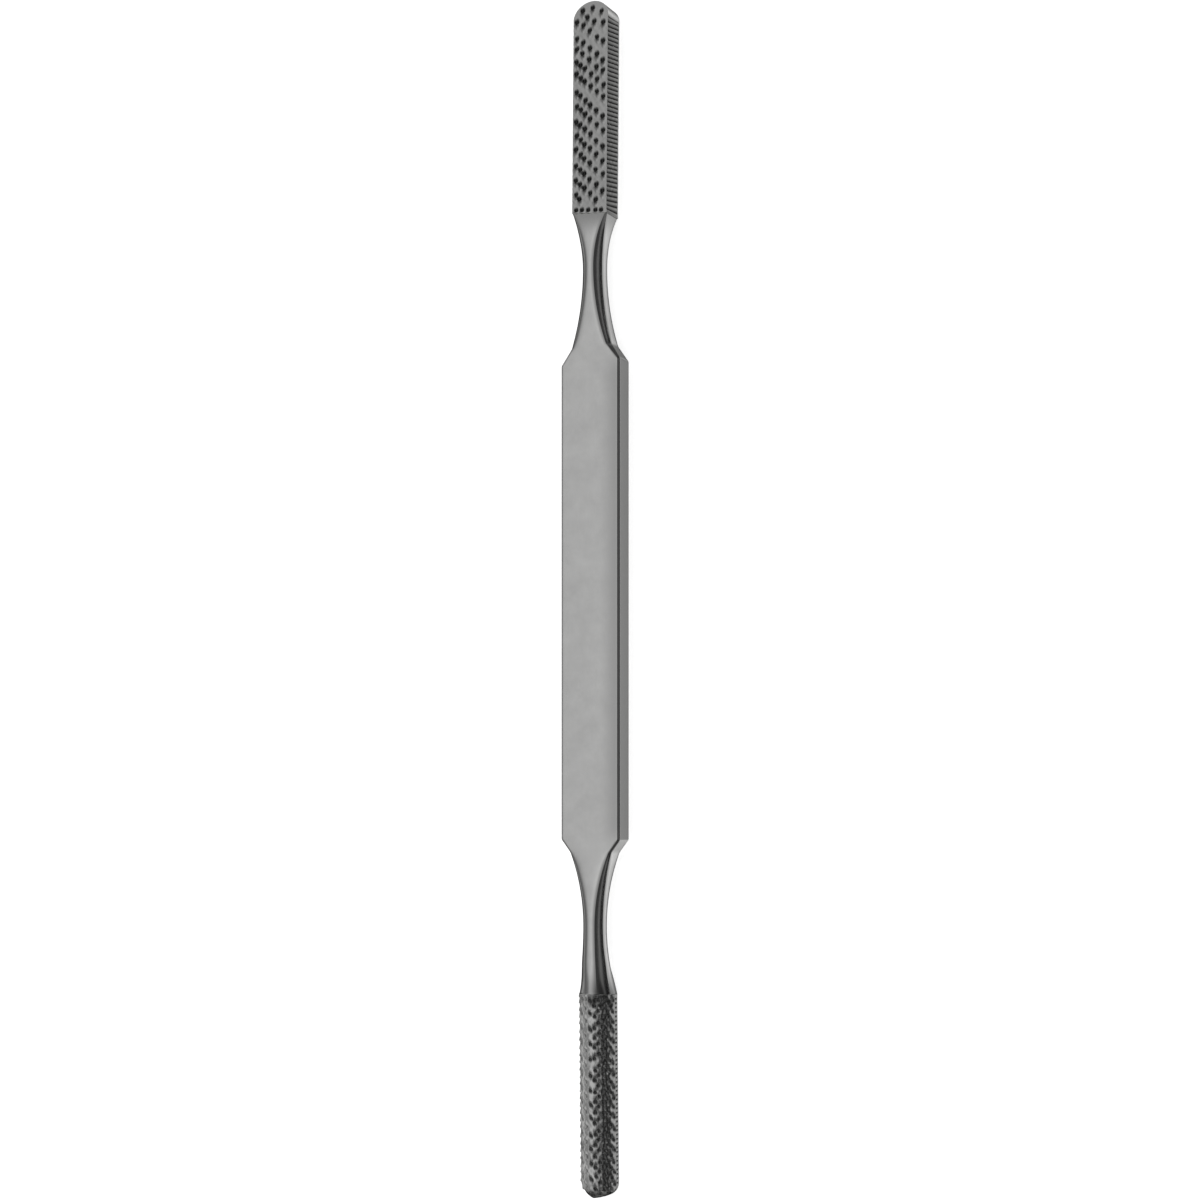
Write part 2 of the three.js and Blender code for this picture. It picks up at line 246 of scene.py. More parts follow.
def rounded_octagon(halves, rounding, tilts, flats, corner_steps=4):
    """Points round an eight-sided section with rounded corners and slightly full sides.

    halves is stations x 8 half sizes at 0, 45, 90 ... degrees from +X towards +Z, tilts is
    how far each side leans back at its ends, in radians, and flats the steps along each.
    Returns stations x points x 2, the side that each point belongs to, and how far each
    stands from the nearest corner facet."""
    angles = np.radians(45 * np.arange(8))
    inner = halves - rounding[:, None]
    points, sides, from_facet = [], [], []
    for side in range(8):
        before, nxt = (side - 1) % 8, (side + 1) % 8
        n = np.array([math.cos(angles[side]), math.sin(angles[side])])
        t = np.array([-n[1], n[0]])
        reach_back = (inner[:, before] - inner[:, side] / ROOT2) * ROOT2
        reach_on = (inner[:, nxt] - inner[:, side] / ROOT2) * ROOT2
        half = (reach_back + reach_on) / 2
        power = 1 + np.maximum(half, 1)
        crown = tilts[:, side] * half / power
        for share in np.linspace(0, 1, flats[side] + 1):
            along = -reach_back * (1 - share) + reach_on * share
            out = halves[:, side] + crown * (1 - abs(2 * share - 1) ** power)
            points.append(out[:, None] * n + along[:, None] * t)
            sides.append(side)
            from_facet.append(2 * half * min(share, 1 - share) * (side % 2 == 0))
        corner = inner[:, side, None] * n + reach_on[:, None] * t
        for step in range(1, corner_steps):
            a = angles[side] + math.radians(45) * step / corner_steps
            points.append(corner + rounding[:, None] * np.array([math.cos(a), math.sin(a)]))
            sides.append(side + step / corner_steps)
            from_facet.append(0 * half)
    return np.stack(points, 1), np.array(sides), np.stack(from_facet, 1)


def half_round_reach(x, z):
    """How far the ray from the middle plane's centre through (x, z) goes, as a multiple of
    it, before it meets the half-round section."""
    far = 1e9
    length = np.hypot(x, z)
    angle = np.arctan2(z, x)
    across = DOME_HALF_WIDTH / np.maximum(np.abs(np.cos(angle)), 1e-9)
    down = np.where(z < 0, DOME_BACK / np.maximum(-np.sin(angle), 1e-9), far)
    dome = DOME_CENTRE * np.sin(angle) + np.sqrt(DOME_RADIUS**2 - (DOME_CENTRE * np.cos(angle)) ** 2)
    return np.minimum(np.minimum(across, down), dome) / length


MORPH_LENGTH = 9.0  # over which the half-round neck takes the section of its head
HEADWARD_LENGTH = 6.5  # over which each neck takes the tone of its head
FACET_RUN_ON = 0.9  # how far the facets' painted shade runs on to the faces
HEAD_RUN_ON = 1.6  # how much further it runs where the half-round head begins
ROOT_SKEW = 0.13  # the flat head starts a little further up on its left side
ROOT_SKEW_LENGTH = 8.0
ROUND_CORNER = 0.4  # eighths of a turn past a side that still take its painted shade
EDGE_SHADE_START = 2.4  # from the middle, where painted shade begins to darken the bar's front towards its +X edge
# How strongly each tone is laid on, where that is less than fully: painted shade on the neck sides, on
# the bar's corner facets and at the half-round root's corner, and the blend to the half-round head's
# steel.
NECK_SIDE = 0.42
BAR_EDGE = 0.72
ROUND_ROOT_CORNER = 0.6
ROUND_HEADWARD = 0.4


def make_handle(material):
    y = handle_stations()
    plan, top, bottom, top_d, bottom_d = (softened(y, PROFILES[key]) for key in PROFILES)
    halves = np.stack([plan, top_d, top, top_d, plan, bottom_d, bottom, bottom_d], 1)
    to_round = smooth_step(-y, ROUND_END["root"] - MORPH_LENGTH, ROUND_END["root"])
    at_head = np.maximum(
        smooth_step(y, FLAT_END["root"] - HEADWARD_LENGTH, FLAT_END["root"]),
        smooth_step(-y, ROUND_END["root"] - HEADWARD_LENGTH, ROUND_END["root"]),
    )
    # The bar, its bevels and the necks blend over a few millimetres.
    away = np.abs(y)
    shoulder, bevel = FLAT_END["shoulder"], FLAT_END["bevel"]
    in_neck = smooth_step(away, shoulder + 1, bevel + 3)
    in_bar = 1 - smooth_step(away, shoulder - 0.3, shoulder + 0.5)
    at_bevel = 1 - smooth_step(away, bevel - 1, bevel + 2)
    # How far along the bar the painted shade towards its +X edge reaches.
    edge_shade_along = 1 - smooth_step(away, shoulder - 4, bevel)
    rounding = np.full(y.shape, EDGE_ROUNDING)
    face_tilt = np.where(y > 0, FACE_TILT, ROUND_FACE_TILT)[:, None]
    tilts = np.where(np.arange(8)[None, :] % 2 == 1, FACET_TILT, face_tilt)
    tilts = tilts * (in_neck * (1 - at_head))[:, None]
    flats = [BROAD_STEPS if side % 4 == 2 else OTHER_STEPS for side in range(8)]
    section, sides, from_facet = rounded_octagon(halves, rounding, tilts, flats)
    x, z = section[..., 0], section[..., 1]
    up = np.where(z > 0, top[:, None] / DOME_TOP, bottom[:, None] / DOME_BACK)
    reach = half_round_reach(x / (plan[:, None] / DOME_HALF_WIDTH), z / up)
    grow = 1 + (reach - 1) * to_round[:, None]
    x, z = x * grow, z * grow
    skewed = ROOT_SKEW * smooth_step(y, FLAT_END["root"] - ROOT_SKEW_LENGTH, FLAT_END["root"])
    rings = np.stack([x, y[:, None] - skewed[:, None] * x, z + MIDDLE_Z], 2)
    # The side faces take painted shade: fully on the bar, less on the necks.
    on_side = (np.minimum(sides % 4, 4 - sides % 4) < ROUND_CORNER).astype(float)
    # Painted shade on the corner facets, which runs a little way on to the faces.
    run_on = FACET_RUN_ON * (0.3 + 0.7 * in_neck[:, None]) + HEAD_RUN_ON * to_round[:, None]
    facet_shade = 1 - smooth_step(from_facet / run_on, 0, 1)
    on_facet = np.abs(sides % 2 - 1) < ROUND_CORNER
    # Painted shade, nearly black, along the corner facets of the bar and its bevels, and on the +X side
    # round the facets where the half-round head begins.
    corner = np.where(in_bar > 0.5, BAR_EDGE, at_bevel)[:, None] * on_facet[None, :]
    corner = np.maximum(corner, ROUND_ROOT_CORNER * to_round[:, None] ** 3 * facet_shade * (x > 0))
    headward = (at_head * np.where(y > 0, 1.0, ROUND_HEADWARD))[:, None]
    layers = {
        "side": on_side[None, :] * np.maximum(in_bar, NECK_SIDE * in_neck)[:, None],
        "roll": smooth_step(x, EDGE_SHADE_START, BAR_HALF_WIDTH) * (1 - on_side[None, :]) * edge_shade_along[:, None],
        "headward": np.broadcast_to(headward, x.shape),
        "facet_shade": facet_shade * (1 - in_bar)[:, None],
        "corner": corner,
    }
    # +X towards +Z runs clockwise seen from +Y, so the order is turned round.
    layers = {key: values[:, ::-1] for key, values in layers.items()}
    piece = mesh_from_rings("handle_bar", rings[:, ::-1], layers, material)
    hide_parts("handle")
    return piece


# ---------------------------------------------------------------- teeth

TOOTH_HEIGHT = 0.36
PIT_DEPTH = 0.34
TOOTH_SHADE_OFFSET = 0.25  # from a tooth to the middle of its painted shade
CREST = -0.3  # where a tooth's point stands; the pit lies on its tip side
CREST_BACK = 1.5  # length of the back that tapers away
CREST_FACE = 0.25  # length of the steep face
PIT_SHAPE = (0.35, 0.80, 0.66)  # middle, half length and half width
# The painted shade's oval: middle, half length and half width.
TOOTH_SHADE_SHAPE = (0.22, 1.15, 0.92)
# Hand-struck teeth of the flat faces: the distance from the tip to the left end of each row,
# and the loose ones at the tip by themselves, across and from the tip.
FACE_ROWS = [4.2, 8.5, 11.0, 14.2, 17.3, 21.9, 25.4, 29.4, 33.0, 36.5, 40.4, 44.2, 47.8]
TIP_TEETH = [(0.7, 1.8), (3.1, 2.9), (-2.2, 1.8), (-1.0, 3.8), (1.0, 5.4), (3.6, 5.8)]
WIDE_ROWS = 3
WIDE_COLUMNS = [-3.9, -2.15, -0.2, 1.8, 3.5]
CLOSE_COLUMNS = [-3.9, -2.7, -1.4, 0.15, 1.95, 3.75]
ROW_SLANT = (0.86, 0.06, 0.97)  # the first row's, what each row adds, and the steepest
FIRST_TOOTH = 2.9  # no slanting row reaches nearer the root than this
TIP_CLEAR = 0.9  # room beyond a tooth before the rounded tip
EDGE_CLEAR = 0.3
ROOT_TEETH = 0.55  # from the root to the level row there
DOME_PITCH = 3.75
FILE_PITCH = 1.1
FILE_DEPTH = 0.22
FILE_STEPS = 8
FILE_SKEW = math.tan(math.radians(10.7))


def from_middle(a, b, shape):
    """Distance from the middle of an oval, which is 1 on its edge."""
    middle, half_length, half_width = shape
    return np.sqrt(((a - middle) / half_length) ** 2 + (b / half_width) ** 2)


def stamp_teeth(across, along, places):
    """Spur height, pit depth and painted shade of punched teeth on a grid, all 0 to 1.

    across and along are the grid's own distances in millimetres, and places is a list of
    (across, along, size, lean). Each tooth has a rounded pit on its tip side, a steep face,
    and a back that tapers away to the root side. The shade is painted as an oval over the
    pit and a tail down the back."""
    spur = np.zeros(across.shape)
    pit = np.zeros(across.shape)
    tooth_shade = np.zeros(across.shape)
    for at_across, at_along, size, lean in places:
        near = (np.abs(across - at_across) < 1.2) & (np.abs(along - at_along) < 2.6)
        b = (across[near] - at_across) / size
        a = (along[near] - at_along) / size
        b = b - lean * a
        back = np.clip(1 + (a - CREST) / CREST_BACK, 0, 1) ** 1.4
        face = np.clip(1 - (a - CREST) / CREST_FACE, 0, 1)
        width = 0.26 + 0.2 * np.clip(1 + (a - CREST) / 1.2, 0, 1)
        height = np.where(a < CREST, back, face) * np.exp(-((b / width) ** 2))
        depth = np.clip(1 - from_middle(a, b, PIT_SHAPE) ** 2, 0, 1) ** 1.3
        # A painted shadow tail runs from the crest down the tooth's back.
        tail = 0.7 - 0.52 * np.clip(-(a + 0.1) / 1.1, 0, 1)
        shadow_tail = np.where((a < 0.3) & (a > -1.3), np.clip(1 - (b / tail) ** 2, 0, 1), 0)
        shadow_tail = 0.85 * shadow_tail * np.clip(1.5 + a, 0, 1)
        spur[near] = np.maximum(spur[near], height)
        pit[near] = np.maximum(pit[near], depth)
        shade_oval = np.clip(1.6 * (1 - from_middle(a, b, TOOTH_SHADE_SHAPE)), 0, 1)
        tooth_shade[near] = np.maximum(tooth_shade[near], np.maximum(shade_oval, shadow_tail))
    return spur, pit, tooth_shade


def lumps(points, seed, amount):
    """Slight unevenness of the struck faces: a few fixed waves of random direction."""
    draw = random.Random(seed)
    total = np.zeros(points.shape[:2])
    for _ in range(14):
        wave = [draw.uniform(1.2, 4.5) * draw.choice((-1, 1)) for _ in range(3)]
        total += np.sin(points @ np.array(wave) + draw.uniform(0, 2 * math.pi))
    return amount * total / math.sqrt(14)


def file_cut(along):
    """Depth 0 to 1 of a single-cut file, whose steep faces look to the tip."""
    share = (along / FILE_PITCH) % 1.0
    return np.where(share < 0.75, 1 - share / 0.75, (share - 0.75) / 0.25)


def head_stations(length, tip):
    """Distances along a head, even along its cut length and closer round its tip."""
    step = FILE_PITCH / FILE_STEPS
    body = np.arange(0, length - tip, step)
    turn = np.radians(np.linspace(0, 88.5, 34))[1:]
    start = body[-1]
    return np.concatenate([body, start + (length - start) * np.sin(turn)])


def tip_share(along, length, tip):
    """Share of the full width that is left at each distance along a head."""
    into = np.clip((along - (length - tip)) / tip, 0, 1)
    return np.sqrt(1 - into**2)


def face_places(half_width, length, seed, tip):
    """Punched teeth on a flat face, as slanting rows that lie flatter near the tip."""
    draw = random.Random(seed)
    wide = half_width / HEAD_HALF_WIDTH
    first, growth, steepest = ROW_SLANT
    spots = list(TIP_TEETH)
    for row, left in enumerate(FACE_ROWS):
        columns = WIDE_COLUMNS if row < WIDE_ROWS else CLOSE_COLUMNS
        slant = min(steepest, first + growth * row)
        spots += [(x, left + slant * (x - columns[0])) for x in columns]
    places = []
    for x, from_tip in spots:
        x_here = x * wide + draw.uniform(-0.16, 0.16)
        y_here = length - from_tip - TOOTH_SHADE_OFFSET + draw.uniform(-0.22, 0.22)
        room = half_width * tip_share(np.array(y_here + TIP_CLEAR), length, tip)
        if y_here > FIRST_TOOTH and abs(x_here) < room - EDGE_CLEAR:
            places.append((x_here, y_here, draw.uniform(0.92, 1.1), draw.uniform(-0.25, 0.08)))
    for x in WIDE_COLUMNS:
        y_here = ROOT_TEETH - 0.03 * (x - WIDE_COLUMNS[0]) + draw.uniform(-0.1, 0.1)
        places.append((x * wide + draw.uniform(-0.12, 0.12), y_here, 0.95, 0))
    return places


TIP_ROUNDING = 3.9
FILE_PLAIN = 4.3  # plain length at the tip
FLAT_EDGE_ROUNDING = 0.10
FLAT_UNEVEN = 0.012  # height of the flat faces' unevenness
HEAD_LEAN = 0.5  # degrees that the head stands off the handle's line


def make_flat_head(material):
    root = FLAT_END["root"]
    length = LENGTH / 2 - root
    along = head_stations(length, TIP_ROUNDING)
    w, t, r = HEAD_HALF_WIDTH, HEAD_HALF_THICKNESS, FLAT_EDGE_ROUNDING
    face_steps, side_steps = 68, 32
    # Points round the section from +X towards +Z, which is clockwise seen from +Y. They are
    # turned round below, as in the handle.
    corners = []

    def corner(cx, cz, start):
        for k in range(4):
            a = math.radians(start + 90 * k / 3)
            corners.append((cx + r * math.cos(a), cz + r * math.sin(a)))

    def flat(x0, z0, x1, z1, steps):
        for k in range(1, steps):
            corners.append((x0 + (x1 - x0) * k / steps, z0 + (z1 - z0) * k / steps))

    corner(w - r, t - r, 0)
    flat(w - r, t, -w + r, t, face_steps)
    corner(-w + r, t - r, 90)
    flat(-w, t - r, -w, -t + r, side_steps)
    corner(-w + r, -t + r, 180)
    flat(-w + r, -t, w - r, -t, face_steps)
    corner(w - r, -t + r, 270)
    flat(w, -t + r, w, t - r, side_steps)
    section = np.array(corners)[::-1]
    share = tip_share(along, length, TIP_ROUNDING)
    x = section[None, :, 0] * share[:, None]
    z = np.broadcast_to(section[None, :, 1], x.shape)
    # The file cut's skew and the unevenness die away towards both ends.
    window = smooth_step(along, 0, 3) * (1 - smooth_step(along, length - 6.5, length - 3))
    y = along[:, None] - FILE_SKEW * z * window[:, None]
    rings = np.stack([x, y, z], 2)
    normals = grid_normals(rings)

    on_face = np.abs(z) > t - r * 0.5
    front = face_places(w, length, 3, TIP_ROUNDING)
    back = face_places(w, length, 8, TIP_ROUNDING)
    teeth = np.zeros((3, *x.shape))
    for places, facing in ((front, 1), (back, -1)):
        here = on_face & (np.sign(z) == facing)
        teeth = np.where(here, stamp_teeth(x * facing, y, places), teeth)
    spur, pit, tooth_shade = teeth
    # Painted shade on the side faces, which ends before the plain tip.
    side = smooth_step(np.abs(x) / np.maximum(share[:, None], 1e-6), w - 0.04, w - 0.005)
    side = side * smooth_step(t - np.abs(z), 0.0, 0.25)
    plain = length - FILE_PLAIN
    ends = smooth_step(along, 0.2, 0.6) * (1 - smooth_step(along, plain - 0.4, plain + 0.4))
    side = side * (1 - smooth_step(along, plain, plain + 1))[:, None]
    # The cut's depth also paints shade in its grooves.
    cut = side * ends[:, None] * np.broadcast_to(file_cut(along)[:, None], x.shape)
    whole = smooth_step(along, 0.0, 0.3)[:, None]
    height = (TOOTH_HEIGHT * spur - PIT_DEPTH * pit) * whole - FILE_DEPTH * cut
    height = height + lumps(rings, 21, FLAT_UNEVEN) * window[:, None]
    # A painted highlight lightens the side faces round the plain tip.
    past_cut = smooth_step(along, plain - 0.2, plain + 0.8)[:, None]
    tip_highlight = smooth_step(t - np.abs(z), 0.0, 0.25) * past_cut
    rings = rings + normals * height[..., None]

    skewed = ROOT_SKEW * (1 - smooth_step(along, 0, ROOT_SKEW_LENGTH))
    turned = rings.copy()
    turned[..., 0] += math.tan(math.radians(HEAD_LEAN)) * rings[..., 1]
    turned[..., 1] += root - skewed[:, None] * rings[..., 0]
    turned[..., 2] += MIDDLE_Z
    front_heavy = 0.72 + 0.28 * z / t  # the sides' painted shade is fainter towards the back
    layers = {"tooth_shade": tooth_shade * whole, "cut": cut, "side": side * front_heavy, "tip_highlight": tip_highlight}
    piece = mesh_from_rings("flat_head", turned, layers, material)
    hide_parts("flat_rasp_head")
    return piece


NOSE_LENGTH = 3.2
NOSE_DROP = 1.3
DOME_COLUMN_ANGLES = [-66, -56, -46, -35, -24, -12, 2, 20, 37, 52, 66]
DOME_ROOT_ANGLES = [-62, -52, -40, -30, -14, 14, 30, 45, 62]
DOME_ENDS = (1.0, 1.4)  # from the root and from the tip, where the columns stop
FLANK_CLOSER = 0.72  # pitch on the dark flank, as a share of the pitch elsewhere
FLANK_SMALLER = 0.88  # size of the teeth there, likewise
DOME_UNEVEN = 0.025
DOME_WORN = 0.15  # share of their height that the teeth on both flanks lose
DOME_WORN_FROM = (25, 40)  # from and to, in degrees round the dome
ROUND_HEAD_LEAN = 0.6  # degrees
ROUND_FILE_END = (3.4, 2.6)  # from the tip, where the edge cut starts to fade and is gone
# Painted shade darkens the dome's flank in two steps down from its top, and is paler again at its foot.
# Each is from and to, in degrees round the dome.
FLANK_STARTS = (8, 16)
FLANK_DARK = (25, 39)
FLANK_FOOT = (48, 60)
FLANK_LIT = (4, 14)  # the other flank, which stays pale: the painted shade is mostly taken off it
ROOT_SHADE_ROUND = (-12, 2)  # the shade at the root, from the lit flank to the dark one
# How strongly each of the dome's painted shades is laid on.
LAND_SHADE = 0.45
ROOT_SHADE = 0.75
NOSE_SHADE = 1.1
FLANK_FIRST_STEP = 0.3
FOOT_PALER = 0.34
LIT_PALER = 0.75
LIT_TOOTH_SHADE_PALER = 0.5


def dome_places(length, seed):
    """Punched teeth on the dome: (distance round the arc, distance along, size, lean)."""
    draw = random.Random(seed)
    places = []
    from_root, from_tip = DOME_ENDS
    for column, degrees in enumerate(DOME_COLUMN_ANGLES):
        # The teeth stand closer together, and smaller, down the dark flank.
        pitch = DOME_PITCH * (FLANK_CLOSER if degrees < 0 else 1)
        y = from_root + (column % 2) * pitch / 2
        while y < length - from_tip:
            s = DOME_RADIUS * math.radians(degrees) + draw.uniform(-0.18, 0.18)
            y_here = y + draw.uniform(-0.35, 0.35)
            size = draw.uniform(0.9, 1.15) * (FLANK_SMALLER if degrees < 0 else 1)
            lean = draw.uniform(-0.35, 0.1)
            places.append((s, y_here, size, lean))
            y += pitch
    for degrees in DOME_ROOT_ANGLES:
        s = DOME_RADIUS * math.radians(degrees + draw.uniform(-4, 4))
        places.append((s, draw.uniform(0.5, 2.6), 1.15, draw.uniform(-0.2, 0.3)))
    return places


def make_round_head(material):
    root = ROUND_END["root"]
    length = LENGTH / 2 - root
    along = head_stations(length, TIP_ROUNDING)
    half, back = DOME_HALF_WIDTH, -DOME_BACK
    shoulder = back + DOME_LAND
    reach = math.asin(half / DOME_RADIUS)
    arc_steps, back_steps, land_steps = 104, 72, 9
    points, kind, arc_at = [], [], []

    def add(px, pz, what, s=0.0):
        points.append((px, pz))
        kind.append(what)
        arc_at.append(s)

    for k in range(arc_steps + 1):
        a = reach - 2 * reach * k / arc_steps
        add(DOME_RADIUS * math.sin(a), DOME_CENTRE + DOME_RADIUS * math.cos(a), "dome", DOME_RADIUS * a)
    for k in range(1, land_steps):
        add(-half, shoulder - DOME_LAND * k / land_steps, "land")
    for k in range(back_steps + 1):
        add(-half + 2 * half * k / back_steps, back, "back")
    for k in range(1, land_steps):
        add(half, back + DOME_LAND * k / land_steps, "land")
    section = np.array(points)[::-1]
    kind = np.array(kind)[::-1]
    arc_at = np.array(arc_at)[::-1]

    share = tip_share(along, length, TIP_ROUNDING)
    into = np.clip((along - (length - NOSE_LENGTH)) / NOSE_LENGTH, 0, 1)
    tall = (DOME_TOP + DOME_BACK - NOSE_DROP * (1 - np.sqrt(1 - into**2))) / (DOME_TOP + DOME_BACK)
    x = section[None, :, 0] * share[:, None]
    z = back + (section[None, :, 1] - back) * tall[:, None]
    y = np.broadcast_to(along[:, None], x.shape)
    rings = np.stack([x, y, z], 2)
    normals = grid_normals(rings)

    s = np.broadcast_to(arc_at[None, :], x.shape) * share[:, None]
    dome = np.broadcast_to(kind == "dome", x.shape)
    flat_back = np.broadcast_to(kind == "back", x.shape)
    on_dome = stamp_teeth(s, y, dome_places(length, 5))
    on_back = stamp_teeth(-x, y, face_places(half, length, 12, TIP_ROUNDING))
    spur, pit, tooth_shade = np.where(dome, on_dome, np.where(flat_back, on_back, 0.0))
    near_corner = 1 - smooth_step(half * share[:, None] - np.abs(x), 0.0, 0.35)
    fade = np.where(flat_back, 1 - near_corner, 1.0)
    land = np.broadcast_to(kind == "land", x.shape)
    fades, gone = (length - from_tip for from_tip in ROUND_FILE_END)
    ends = smooth_step(along, 0.4, 0.8) * (1 - smooth_step(along, fades, gone))
    # The cut's depth also paints shade in its grooves.
    cut = land * ends[:, None] * np.broadcast_to(file_cut(along)[:, None], x.shape)
    # Teeth on the flanks are lower than those along the top of the dome.
    angle = s / DOME_RADIUS
    worn = 1 - DOME_WORN * dome * smooth_step(np.abs(angle), *np.radians(DOME_WORN_FROM))
    height = (TOOTH_HEIGHT * spur - PIT_DEPTH * pit) * fade * worn - FILE_DEPTH * cut
    height = height + lumps(rings, 34, DOME_UNEVEN) * smooth_step(along, 0, 2)[:, None] * dome
    rings = rings + normals * height[..., None]

    # Turned end for end about Z, so that the tip points to -Y.
    turned = rings.copy()
    turned[..., 0] = math.tan(math.radians(ROUND_HEAD_LEAN)) * rings[..., 1] - rings[..., 0]
    turned[..., 1] = -rings[..., 1] - root
    turned[..., 2] += MIDDLE_Z
    mottle = lumps(rings * 1.6, 51, 1.0)
    # The side layer is painted shade: on the lands, down the dark flank, over the nose and at the root.
    flank_shade = FLANK_FIRST_STEP * smooth_step(np.abs(angle), *np.radians(FLANK_STARTS))
    flank_shade = flank_shade + (1 - FLANK_FIRST_STEP) * smooth_step(np.abs(angle), *np.radians(FLANK_DARK))
    foot = smooth_step(np.abs(angle), *np.radians(FLANK_FOOT))
    at_foot = 1 - (FOOT_PALER + 0.2 * mottle) * foot
    flank_shade = dome * np.clip(flank_shade * (1 + 0.25 * mottle) * at_foot, 0, 1)
    lit = dome * smooth_step(angle, *np.radians(FLANK_LIT))
    flank_shade = flank_shade * (1 - LIT_PALER * lit)
    # The teeth's painted shade is paler on the lit flank.
    fade = fade * (1 - LIT_TOOTH_SHADE_PALER * lit)
    nose_shade = NOSE_SHADE * smooth_step(along, length - 3.5, length - 0.8)[:, None]
    root_shade = ROOT_SHADE * dome * smooth_step(-angle, *np.radians(ROOT_SHADE_ROUND))
    root_shade = root_shade * (1 - smooth_step(along, 1.8, 4.6))[:, None]
    nose_shade = np.broadcast_to(nose_shade, x.shape)
    side = np.maximum.reduce([LAND_SHADE * land, flank_shade, nose_shade, root_shade])
    layers = {"tooth_shade": tooth_shade * fade, "cut": cut, "side": side}
    piece = mesh_from_rings("half_round_head", turned, layers, material)
    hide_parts("half_round_rasp_head")
    return piece


# ---------------------------------------------------------------- materials


def node(tree, kind, **values):
    made = tree.nodes.new(kind)
    for key, value in values.items():
        if hasattr(made, key):
            setattr(made, key, value)
        else:
            made.inputs[key].default_value = value
    return made


def attribute(tree, name):
    return node(tree, "ShaderNodeAttribute", attribute_name=name).outputs["Fac"]


def ranged(tree, value, low, high, to_low, to_high):
    made = node(tree, "ShaderNodeMapRange")
    for key, number in (("From Min", low), ("From Max", high), ("To Min", to_low), ("To Max", to_high)):
        made.inputs[key].default_value = number
    tree.links.new(value, made.inputs["Value"])
    return made.outputs["Result"]


def tinted(tree, share, under, over):
    """Mixes two colours, each a socket or a grey value, by a share."""
    made = node(tree, "ShaderNodeMix", data_type="RGBA")
    tree.links.new(share, made.inputs[0])
    for place, value in ((6, under), (7, over)):
        if isinstance(value, float):
            made.inputs[place].default_value = (value, value, value * 0.99, 1)
        else:
            tree.links.new(value, made.inputs[place])
    return made.outputs[2]


def noise(tree, vector, scale, detail):
    made = node(tree, "ShaderNodeTexNoise", Scale=scale, Detail=detail, Roughness=0.6)
    tree.links.new(vector, made.inputs["Vector"])
    return made.outputs["Fac"]


def steel(name, tone, rough, grain, dark_layers):
    """Ground steel: a fine lengthwise grain and soft mottling, with a tone laid on where a layer says
    so.

    dark_layers maps a mesh attribute to (from, to, tone) of the tone there. Most layers are painted
    shade; the flat head's tip layer is a painted highlight, and headward is the heads' darker steel."""
    material = bpy.data.materials.new(name)
    material.use_nodes = True
    tree = material.node_tree
    shader = tree.nodes["Principled BSDF"]
    shader.inputs["Metallic"].default_value = 1.0
    shader.inputs["Specular Tint"].default_value = (0.05, 0.05, 0.05, 1)
    link = tree.links.new

    where = node(tree, "ShaderNodeTexCoord").outputs["Object"]
    stretch = node(tree, "ShaderNodeMapping")
    stretch.inputs["Scale"].default_value = (1.0, 0.04, 1.0)
    link(where, stretch.inputs["Vector"])
    streaks = noise(tree, stretch.outputs["Vector"], 9000.0, 3.0)
    mottle = noise(tree, where, 170.0, 5.0)

    colour = tinted(tree, ranged(tree, mottle, 0.3, 0.7, 0.0, 1.0), tone * 0.94, tone * 1.06)
    for layer, (low, high, dark) in dark_layers.items():
        share = ranged(tree, attribute(tree, layer), low, high, 0.0, 1.0)
        colour = tinted(tree, share, colour, dark)
    link(colour, shader.inputs["Base Color"])
    link(ranged(tree, streaks, 0.3, 0.7, rough - 0.03, rough + 0.04), shader.inputs["Roughness"])

    bump = node(tree, "ShaderNodeBump", Strength=grain, Distance=0.00001)
    link(streaks, bump.inputs["Height"])
    link(bump.outputs["Normal"], shader.inputs["Normal"])
    return material


def white_floor():
    material = bpy.data.materials.new("floor")
    material.use_nodes = True
    shader = material.node_tree.nodes["Principled BSDF"]
    shader.inputs["Base Color"].default_value = (0.9, 0.9, 0.9, 1)
    shader.inputs["Roughness"].default_value = 0.9
    shader.inputs["Specular IOR Level"].default_value = 0.0
    shader.inputs["Emission Color"].default_value = (1, 1, 1, 1)
    shader.inputs["Emission Strength"].default_value = 0.75
    mesh = bpy.data.meshes.new("floor")
    s = 12.0
    mesh.from_pydata([(-s, -s, 0), (s, -s, 0), (s, s, 0), (-s, s, 0)], [], [(0, 1, 2, 3)])
    mesh.materials.append(material)
    floor = bpy.data.objects.new("floor", mesh)
    floor.location.z = CAD_LOW.z - 0.0002
    bpy.context.scene.collection.objects.link(floor)


# ---------------------------------------------------------------- light

# Brightness of the room by direction across the tool, in degrees from straight up towards
# +X: a pale room with a grey shade on the left, and on the right a black panel that a grey
# strip splits.
ROOM = [
    (-180, 0.95), (-88, 0.92), (-76, 0.45), (-60, 0.28), (-46, 0.29), (-38, 0.48), (-30, 0.67),
    (-18, 0.76), (-4, 0.72), (8, 0.50), (19, 0.22), (30, 0.12), (49, 0.08), (60, 0.48),
    (70, 0.03), (84, 0.015), (98, 0.02), (106, 0.9), (180, 0.95),
]
ROOM_SIDE = 0.75  # brightness past the ends of the panel and of the left-hand shade
BACKDROP = 0.93  # what the camera sees behind the tool; the steel reflects the room instead
# Shade and panel reach this far either way along the tool, as the Y of a unit direction.
SHADE_REACH = 0.42
PANEL_REACH = 0.68
REACH_TURN = 0.15  # X of the direction, to either side, over which one reach becomes the other
REACH_MIDDLE = 0.08
REACH_FADE = 0.13


